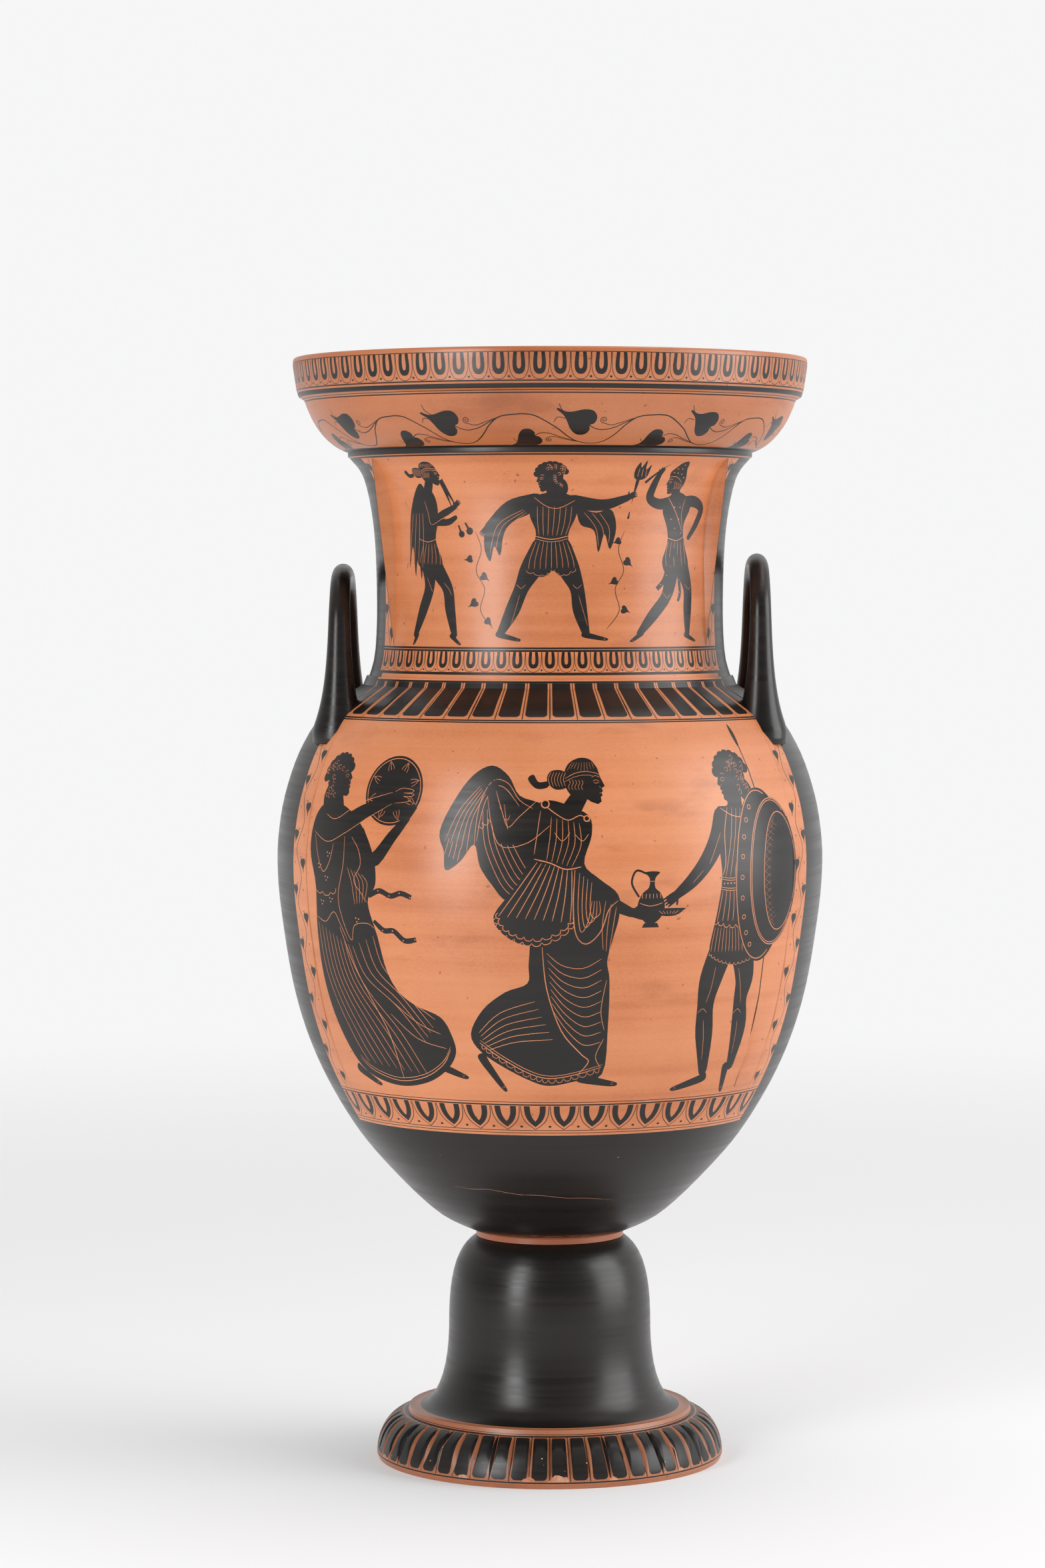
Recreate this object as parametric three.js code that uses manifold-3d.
// A Greek krater of fired clay on a bell-shaped pedestal. The krater is a hollow bowl with a wide neck, a
// flared mouth, a low ring foot and two upright handles; the pedestal is a hollow bell, open below.
// Millimetres, +Z up, the axis of both pieces on Z and the floor at Z = 0. The handles stand at +X and -X.
import * as THREE from 'three';
import { mergeVertices } from 'three/addons/utils/BufferGeometryUtils.js';
import Module from 'manifold-3d';

const wasm = await Module();
wasm.setup();

// Heights of the main levels, from the floor up.
const MOULDING_TOP = 31;
const BASE_EDGE = 35;
const DRUM_FOOT = 92;
const DRUM_TOP = 105;
const JOINT = 151.6;
const RING_TOP = 155.5;
const BELLY = 405;
const SHOULDER = 528;
const NECK_FOOT = 534;
const NECK_WAIST = 584;
const NECK_TOP = 680.8;
const MOUTH_FOOT = 685;
const MOUTH_TOP = 718.7;
const RIM_FOOT = 727;
const RIM_TOP = 748.2;

// Radii at those levels.
const FOOT_R = 118.2;
const MOULDING_R = 97;
const BASE_EDGE_R = 95.9;
const DRUM_R = 68.9;
const JOINT_R = 50.3;
const BELLY_R = 185.5;
const SHOULDER_R = 127;
const NECK_FOOT_R = 122.8;
const NECK_WAIST_R = 117.6;
const NECK_TOP_R = 135.8;
const RIDGE_R = 137.2;
const MOUTH_R = 166.2;
const RIM_R = 174.3;
const RIM_INNER_R = 156;

// Thickness of the clay.
const WALL = 9;
const FLOOR_THICKNESS = 14;
const PEDESTAL_CROWN = 10;
const FOOT_EDGE = 3;
const EDGE_ROUNDING = 1.2;

// The krater rests on the pedestal: two meshes that touch keep this gap.
const REST_GAP = 0.3;

// The handles: upright arches across the ends of X.
const HANDLE_X = 140.5;
const HANDLE_HALF_WIDTH = 60;
const HANDLE_ROOT = 490;
const HANDLE_ROOT_INSET = 5;
const HANDLE_TOPS = { right: 616.5, left: 609.5 };
const HANDLE_THIN_R = 6.4;
const HANDLE_ROOT_SWELL = 6.6;
const HANDLE_SWELL_LEVEL = 515;
const HANDLE_SWELL_RISE = 28;
const HANDLE_SWELL_END = 500;

// How finely the round forms are faceted.
const ROUND = 44;
const HANDLE_STEPS = 20;
const HANDLE_SIDES = 10;

const clay = new THREE.MeshStandardMaterial({ color: 0xc8713f, roughness: 0.55, metalness: 0 });
const slip = new THREE.MeshStandardMaterial({ color: 0x141414, roughness: 0.3, metalness: 0 });

const point = (radius, height) => new THREE.Vector2(radius, height);

// The points of a smooth stretch of outline through the given ones, both ends left in.
function smooth(steps, ...through) {
  return new THREE.SplineCurve(through).getSpacedPoints(steps);
}

// The points of a stretch that leaves one end towards the second point and meets the other from the third.
function bent(steps, start, towards, from, end) {
  return new THREE.CubicBezierCurve(start, towards, from, end).getPoints(steps);
}

// A quarter of an ellipse that starts upright at its widest and ends flat at its top.
function ovolo(steps, radius, height, width, rise) {
  return new THREE.EllipseCurve(radius, height, width, rise, 0, Math.PI / 2).getPoints(steps);
}

// The outline without points that follow each other at the same place.
function joined(...stretches) {
  const outline = stretches.flat();
  return outline.filter((p, i) => i === 0 || p.distanceTo(outline[i - 1]) > 0.01);
}

// A solid of revolution about Z, from an outline that runs up the outside from the axis and back to it.
function turned(outline) {
  return new THREE.LatheGeometry(outline, ROUND).rotateX(Math.PI / 2);
}

// The pedestal's outline: foot moulding, flared base, drum and rounded top.
function pedestalOutside() {
  const narrowing = FOOT_R - MOULDING_R;
  return joined(
    [point(FOOT_R - EDGE_ROUNDING, 0), point(FOOT_R, FOOT_EDGE)],
    ovolo(4, MOULDING_R, FOOT_EDGE, narrowing, MOULDING_TOP - FOOT_EDGE),
    [point(BASE_EDGE_R, BASE_EDGE)],
    bent(6, point(BASE_EDGE_R, BASE_EDGE), point(80, 31), point(DRUM_R, 52), point(DRUM_R, DRUM_FOOT)),
    bent(5, point(DRUM_R, DRUM_TOP), point(DRUM_R, 122), point(64.8, 143), point(JOINT_R, JOINT)),
  );
}

// The pedestal's hollow, from the axis under its crown down to the floor.
function pedestalInside() {
  const crown = JOINT - PEDESTAL_CROWN;
  const drum = DRUM_R - WALL;
  return joined(
    [point(0, crown), point(36, crown)],
    bent(4, point(36, crown), point(54, 134), point(drum, 120), point(drum, DRUM_TOP)),
    bent(4, point(drum, DRUM_FOOT), point(drum, 56), point(70, 34), point(84, 27)),
    [point(97, 12), point(100, 0)],
  );
}

// The krater's outline from the middle of its ring foot to the inner edge of its rim.
function kraterOutside() {
  const bowl = smooth(
    17,
    point(51.5, RING_TOP + 0.4),
    point(77.2, 169),
    point(108.6, 199),
    point(134, 230),
    point(158, 273),
    point(173.4, 318),
    point(182.7, 372),
    point(BELLY_R, BELLY),
    point(184.4, 430),
    point(179.6, 456),
    point(169, 485.4),
    point(152, 511),
    point(SHOULDER_R, SHOULDER),
  );
  return joined(
    [point(0, JOINT + REST_GAP), point(JOINT_R, JOINT + REST_GAP), point(JOINT_R, RING_TOP)],
    bowl,
    [point(124.6, NECK_FOOT)],
    smooth(3, point(NECK_FOOT_R, NECK_FOOT), point(118.9, 550), point(NECK_WAIST_R, NECK_WAIST)),
    smooth(
      5,
      point(NECK_WAIST_R, NECK_WAIST),
      point(119.5, 632),
      point(126, 666.4),
      point(NECK_TOP_R, NECK_TOP),
    ),
    [point(RIDGE_R, NECK_TOP + 0.8), point(RIDGE_R, MOUTH_FOOT)],
    bent(
      4,
      point(RIDGE_R + 0.6, MOUTH_FOOT),
      point(152, 689.6),
      point(161.7, 704.5),
      point(MOUTH_R, MOUTH_TOP),
    ),
    [point(167.2, MOUTH_TOP + 1.6), point(170.5, MOUTH_TOP + 3.4), point(172, RIM_FOOT)],
    [point(RIM_R, RIM_TOP - 6), point(RIM_R, RIM_TOP - EDGE_ROUNDING), point(RIM_R - EDGE_ROUNDING, RIM_TOP)],
    [point(RIM_INNER_R, RIM_TOP)],
  );
}

// The krater's hollow, from the inner edge of its rim down to the middle of its floor.
function kraterInside() {
  const floor = JOINT + FLOOR_THICKNESS;
  return joined(
    [point(RIM_INNER_R, RIM_TOP)],
    smooth(
      5,
      point(RIM_INNER_R - 2, RIM_TOP - 3),
      point(154, 718),
      point(143, 697),
      point(121, 676),
      point(111, 646),
      point(NECK_WAIST_R - WALL, NECK_WAIST),
    ),
    [point(112.5, 538)],
    smooth(
      12,
      point(119, 521),
      point(146, 503.5),
      point(168, 460),
      point(BELLY_R - WALL, BELLY),
      point(165.5, 321),
      point(126, 236),
      point(70, 180),
      point(20, floor),
    ),
    [point(0, floor)],
  );
}

// A merged copy of a closed geometry as a solid that can be joined and cut.
function solidOf(geometry) {
  const bare = geometry.clone();
  bare.deleteAttribute('normal');
  bare.deleteAttribute('uv');
  const merged = mergeVertices(bare, 1e-4);
  const corners = merged.index.array;
  const kept = [];
  for (let i = 0; i < corners.length; i += 3) {
    const [a, b, c] = corners.slice(i, i + 3);
    if (a !== b && b !== c && c !== a) kept.push(a, b, c);
  }
  const mesh = new wasm.Mesh({
    numProp: 3,
    vertProperties: new Float32Array(merged.attributes.position.array),
    triVerts: new Uint32Array(kept),
  });
  return new wasm.Manifold(mesh);
}

// A solid's mesh as a geometry for a node.
function geometryOf(solid) {
  const mesh = solid.getMesh();
  const geometry = new THREE.BufferGeometry();
  geometry.setAttribute('position', new THREE.BufferAttribute(mesh.vertProperties, 3));
  geometry.setIndex(new THREE.BufferAttribute(mesh.triVerts, 1));
  geometry.computeVertexNormals();
  return geometry;
}

// The centre line of a handle: up one limb, round the crown and down the other.
function handlePath(side, top) {
  const crown = top - HANDLE_THIN_R;
  const limb = (y, height, inset = 0) => new THREE.Vector3(side * (HANDLE_X - inset), y, height);
  const half = [
    limb(-HANDLE_HALF_WIDTH, HANDLE_ROOT, HANDLE_ROOT_INSET),
    limb(-HANDLE_HALF_WIDTH, HANDLE_SWELL_LEVEL),
    limb(-HANDLE_HALF_WIDTH + 2, crown - 36),
    limb(-HANDLE_HALF_WIDTH + 12, crown - 15),
    limb(-HANDLE_HALF_WIDTH + 29, crown - 4),
  ];
  const other = half.map((p) => new THREE.Vector3(p.x, -p.y, p.z)).reverse();
  return new THREE.CatmullRomCurve3([...half, limb(0, crown), ...other]);
}

// The handle's radius at a height: thin at the crown, and swelling into the shoulder at the roots.
function handleRadius(height) {
  const level = Math.max(height, HANDLE_SWELL_END);
  return HANDLE_THIN_R + HANDLE_ROOT_SWELL * Math.exp((HANDLE_SWELL_LEVEL - level) / HANDLE_SWELL_RISE);
}

// A handle: a tube of radius one along its path, each ring then opened out to the radius at its height.
function handle(side, top) {
  const path = handlePath(side, top);
  const circle = new THREE.Shape();
  circle.absarc(0, 0, 1, 0, 2 * Math.PI);
  const tube = new THREE.ExtrudeGeometry(circle, {
    steps: HANDLE_STEPS,
    curveSegments: HANDLE_SIDES,
    extrudePath: path,
    bevelEnabled: false,
  });
  const centres = path.getSpacedPoints(HANDLE_STEPS);
  const corners = tube.attributes.position;
  const corner = new THREE.Vector3();
  for (let i = 0; i < corners.count; i += 1) {
    corner.fromBufferAttribute(corners, i);
    const centre = centres.reduce((best, c) => (c.distanceTo(corner) < best.distanceTo(corner) ? c : best));
    corner.sub(centre).multiplyScalar(handleRadius(centre.z)).add(centre);
    corners.setXYZ(i, corner.x, corner.y, corner.z);
  }
  return tube;
}

// The krater: the full turned form with its handles luted on, less its hollow.
function krater() {
  const body = solidOf(turned([...kraterOutside(), point(0, RIM_TOP)]));
  const right = solidOf(handle(1, HANDLE_TOPS.right));
  const left = solidOf(handle(-1, HANDLE_TOPS.left));
  const above = [point(RIM_INNER_R, RIM_TOP + WALL), point(0, RIM_TOP + WALL)];
  const hollow = solidOf(turned([...kraterInside().reverse(), ...above]));
  const mesh = new THREE.Mesh(geometryOf(body.add(right).add(left).subtract(hollow)), clay);
  mesh.name = 'krater';
  return mesh;
}

// The pedestal: turned inside and out.
function stand() {
  const outline = [...pedestalInside(), ...pedestalOutside(), point(0, JOINT)];
  const mesh = new THREE.Mesh(turned(outline), slip);
  mesh.name = 'stand';
  return mesh;
}

const kraterOnStand = new THREE.Group();
kraterOnStand.add(stand(), krater());

export default kraterOnStand;
